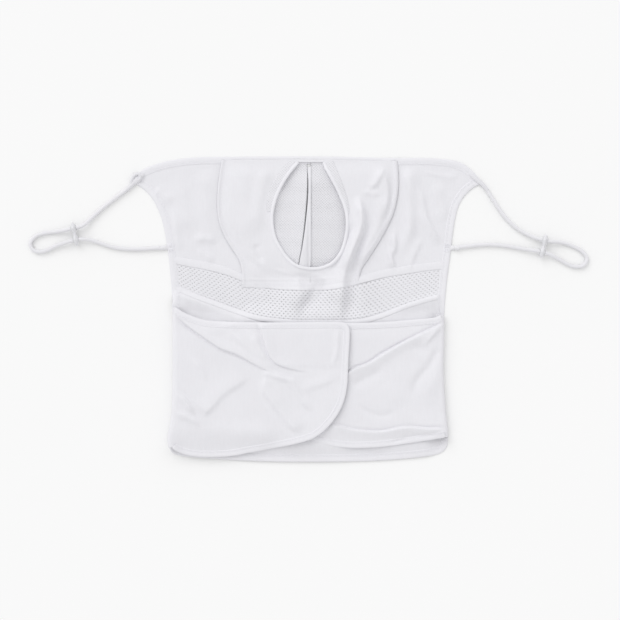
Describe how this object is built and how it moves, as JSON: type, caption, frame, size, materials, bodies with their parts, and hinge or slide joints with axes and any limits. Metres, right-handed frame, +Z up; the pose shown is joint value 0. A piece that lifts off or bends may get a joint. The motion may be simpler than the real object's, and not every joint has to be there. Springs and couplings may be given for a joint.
{
  "type": "face and neck sun cover",
  "caption": "Stretch-knit face and neck sun cover, laid flat: ear loops with sliding locks, breathing opening, mesh vent band and wrap-round neck wings.",
  "frame": {"origin": "on the ground under the middle of the garment, cords left out, laid flat with the wearer's side up", "axes": "+X across the garment towards the ear loop of the under wing, +Y from the neck to the top hem, +Z up"},
  "size_m": [0.4758, 0.259, 0.0099],
  "materials": {
    "knit": "smooth white stretch knit",
    "hem_knit": "turned white knit hem, coverstitched",
    "mesh_knit": "white open mesh knit",
    "binding_tape": "white rolled binding",
    "thread": "white stitching",
    "elastic_cord": "white braided elastic",
    "hook_tape": "white hook tape",
    "loop_tape": "white loop tape",
    "soft_plastic": "milky soft silicone"
  },
  "bodies": {
    "cover": {"top_hem": "hem_knit", "side_hem_right": "hem_knit", "side_hem_left": "hem_knit", "front_panel_right": "knit", "front_panel_left": "knit", "centre_front_seam": "hem_knit", "vent_seam_upper": "hem_knit", "mesh_vent_band": "mesh_knit", "vent_seam_lower": "hem_knit", "neck_panel": "knit", "bottom_hem": "hem_knit", "mouth_shield": "knit", "opening_binding": "binding_tape", "opening_facing": "mesh_knit", "cord_tab_right": "binding_tape", "cord_tab_left": "binding_tape", "cord_bartack_right": "thread", "cord_bartack_left": "thread", "ear_cord_left": "elastic_cord", "ear_cord_right": "elastic_cord"},
    "left_wing": {"neck_wing_left": "knit", "wing_hem_left": "hem_knit", "hook_patch": "hook_tape"},
    "right_wing": {"neck_wing_right": "knit", "wing_hem_right": "hem_knit", "loop_patch": "loop_tape"},
    "left_lock": {"cord_lock_left": "soft_plastic"},
    "right_lock": {"cord_lock_right": "soft_plastic"}
  },
  "joints": [
    {"name": "left_wing_fold", "type": "hinge", "parent": "cover", "child": "left_wing", "pos_m": [-0.1154, -0.06, 0.00495], "axis": [0, -1, 0], "range_deg": [0, 175]},
    {"name": "right_wing_fold", "type": "hinge", "parent": "cover", "child": "right_wing", "pos_m": [0.1154, -0.06, 0.0036], "axis": [0, 1, 0], "range_deg": [0, 84]},
    {"name": "left_lock_slide", "type": "slide", "parent": "cover", "child": "left_lock", "axis": [-0.9774, -0.2113, 0], "range_m": [-0.02, 0.015], "deforming": ["ear_cord_left"]},
    {"name": "right_lock_slide", "type": "slide", "parent": "cover", "child": "right_lock", "axis": [0.9774, -0.2113, 0], "range_m": [-0.02, 0.015], "deforming": ["ear_cord_right"]}
  ],
  "couplings": [
    {"joint": "right_wing_fold", "follows": "left_wing_fold", "ratio": 0.48}
  ]
}
